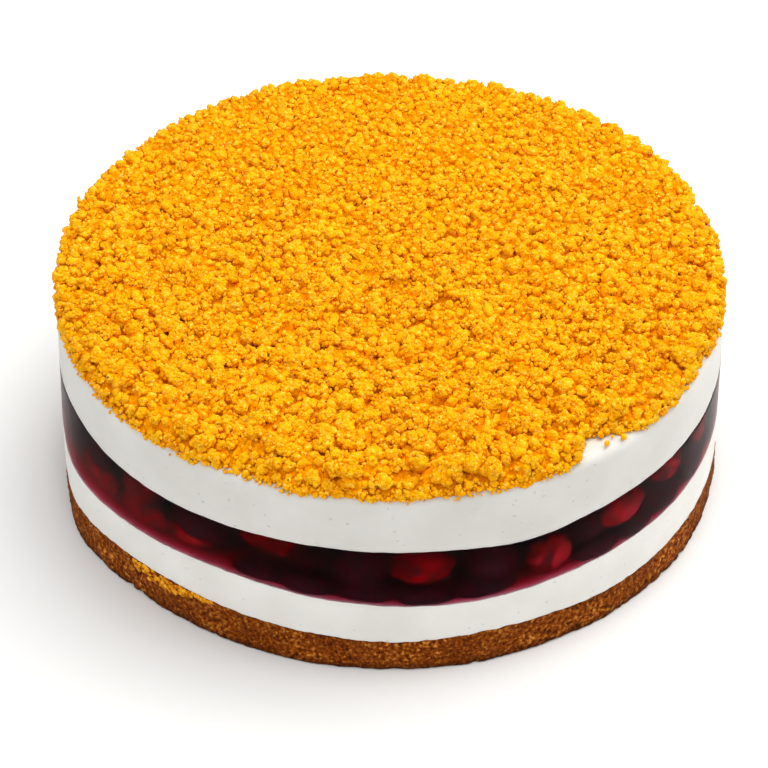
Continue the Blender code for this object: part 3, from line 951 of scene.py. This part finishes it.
def line_edge(draw, kind, count, sizes, band):
    """Set crumbs up the heap's steep edge and at its foot, within a band."""
    spots = []
    while len(spots) < count:
        size = draw.uniform(*sizes)
        radius = KINDS[kind][0] * size / 2
        turn = draw.uniform(0, math.tau)
        edge = edge_line[int(turn / math.tau * len(edge_line)) % len(edge_line)]
        reach = edge + draw.triangular(*band)
        x, y = at(turn, reach)
        if roomy(x, y, 0.8 * radius):
            inner = 1 - WALL_DEPTH / reach
            low = float(field.window(x, y, 0, ground)[0, 0])
            high = float(field.window(x * inner, y * inner, 0, ground)[0, 0])
            height = draw.uniform(low, max(low, high)) + draw.uniform(0.1, 0.6) * radius
            height = min(height, HEAP_LIMIT - TOP_ROOM * radius)
            field.lay(x, y, height, radius)
            spots.append((draw.randrange(SHAPES_EACH), (x, y, height), any_turn(draw), size))
    return spots


ground = field.height.copy()
for kind, *how in SCATTERED:
    spots = scatter(crumb_draw, kind, *how)
    if kind in EDGE_LINES:
        spots += line_edge(crumb_draw, kind, *EDGE_LINES[kind])
    if kind in DUSTED:
        spots += dust(crumb_draw, kind, *DUSTED[kind])
        for turn, reach, size in STRAYS:
            x, y = at(math.radians(turn), reach * MM)
            height = cream_height(reach * MM) + 0.6 * MM * size
            spots.append((crumb_draw.randrange(SHAPES_EACH), (x, y, height), any_turn(crumb_draw), size))
    heap_part = pour(kind, shapes[kind], spots, crumb_yellow)
    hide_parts("crumb_topping")

# The caught crumbs: a few golden crumbs that stuck to the base's wall under the cream at the front
# left, flattened when the ring was lifted off.
CAUGHT_FROM, CAUGHT_TO = math.radians(-139), math.radians(-121)
CAUGHT_COUNT = 150
CAUGHT_SIZES = (0.25, 0.6)
CAUGHT_FLAT = 0.5
CAUGHT_PATCH = (1.2 * MM, 4.2 * MM)
CAUGHT_BELOW_SEAM = 0.4 * MM
CAUGHT_PRESSED = 0.25 * MM


def golden_finish():
    """Moist golden crumb, browned by the base that it is pressed into."""
    material, tree, shader, place = new_finish("golden_crumb", 0.6, 0.05)
    tone = colours(tree, clouds(tree, place, 1.6 * MM, 4.0), (
        (0.36, srgb(176, 92, 6)), (0.50, srgb(228, 146, 14)), (0.66, srgb(250, 186, 50)),
    ))
    tree.links.new(tone, shader.inputs["Base Color"])
    tree.links.new(bumps(tree, clouds(tree, place, 0.7 * MM, 3.0), 0.2 * MM), shader.inputs["Normal"])
    return material


caught_draw = random.Random(8)
caught_spots = []
for _ in range(CAUGHT_COUNT):
    share = caught_draw.random()
    turn = CAUGHT_FROM + (CAUGHT_TO - CAUGHT_FROM) * share
    place = int(turn / math.tau * RING_POINTS) % RING_POINTS
    spread = CAUGHT_PATCH[1] * math.sin(math.pi * min(1.0, share * 1.15 + 0.08)) + CAUGHT_PATCH[0]
    height = base_limits[1][place] + base_seam[place] - CAUGHT_BELOW_SEAM - spread * caught_draw.random()
    reach = base_limits[2][2][place] - CAUGHT_PRESSED
    spot = (*at(turn, reach), height)
    upright = Matrix.Rotation(turn, 3, "Z") @ Matrix.Rotation(math.pi / 2, 3, "Y")
    lie = np.array(upright) @ np.diag((1, 1, CAUGHT_FLAT)) @ any_turn(caught_draw, 0.0)
    caught_spots.append((caught_draw.randrange(SHAPES_EACH), spot, lie, caught_draw.uniform(*CAUGHT_SIZES)))
caught = pour("caught_crumbs", shapes["crumb_pieces"], caught_spots, golden_finish())
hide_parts("baked_base")

# The floor, the light and the camera: a pale plain table top under large soft lamps, seen from
# above the front, where the whole heap of crumbs and the front of every layer show.
CAMERA_AT = Vector((0.0, -1.1111, 0.9184))
CAMERA_AIM = Vector((-0.00222, 0.0, 0.0311))
CAMERA_FOCAL_PIXELS = 3880.7
PHOTO_PIXELS = 768
SENSOR = 36.0
FLOOR_HALF = 3.0
FLOOR_GAP = 0.2 * MM


def pale_floor():
    """A wide plain table top, just below the base."""
    mesh = bpy.data.meshes.new("floor")
    shape = bmesh.new()
    bmesh.ops.create_grid(shape, x_segments=1, y_segments=1, size=FLOOR_HALF)
    shape.to_mesh(mesh)
    shape.free()
    floor = placed("floor", mesh)
    floor.location.z = solid_box[0].z - FLOOR_GAP
    material, _, shader, _ = new_finish("pale_floor", 0.7, 0.3)
    shader.inputs["Base Color"].default_value = (0.86, 0.86, 0.85, 1.0)
    mesh.materials.append(material)


def soft_lamp(name, place, aim, size, power, colour):
    """A large square lamp that faces its aim."""
    light = bpy.data.lights.new(name, "AREA")
    light.shape = "SQUARE"
    light.size = size
    light.energy = power
    light.color = colour
    lamp = placed(name, light)
    lamp.location = place
    lamp.rotation_euler = (Vector(aim) - Vector(place)).to_track_quat("-Z", "Y").to_euler()


def camera():
    """A camera a little over a metre away, with a long lens."""
    lens = bpy.data.cameras.new("camera")
    lens.sensor_width = SENSOR
    lens.lens = CAMERA_FOCAL_PIXELS * SENSOR / PHOTO_PIXELS
    lens.clip_end = 30.0
    made = placed("camera", lens)
    made.location = CAMERA_AT
    made.rotation_euler = (CAMERA_AIM - CAMERA_AT).to_track_quat("-Z", "Y").to_euler()
    bpy.context.scene.camera = made


pale_floor()
camera()
soft_lamp("lamp_above_right", (0.55, 0.5, 1.4), (0, 0, 0.05), 1.4, 23.0, (1.0, 0.985, 0.96))
soft_lamp("lamp_above", (-0.15, -0.5, 1.5), (0, 0, 0.05), 1.4, 11.0, (1.0, 0.99, 0.97))
soft_lamp("lamp_right", (1.3, -0.1, 0.5), (0, 0, 0.05), 0.8, 3.0, (1.0, 0.99, 0.97))
soft_lamp("lamp_front_left", (-1.1, -1.3, 0.9), (0, 0, 0.04), 1.1, 5.0, (0.97, 0.98, 1.0))
world = bpy.data.worlds.new("soft_room")
world.use_nodes = True
world.node_tree.nodes["Background"].inputs["Color"].default_value = (0.97, 0.985, 1.0, 1.0)
world.node_tree.nodes["Background"].inputs["Strength"].default_value = 0.42
bpy.context.scene.world = world
bpy.context.scene.view_settings.view_transform = "Standard"
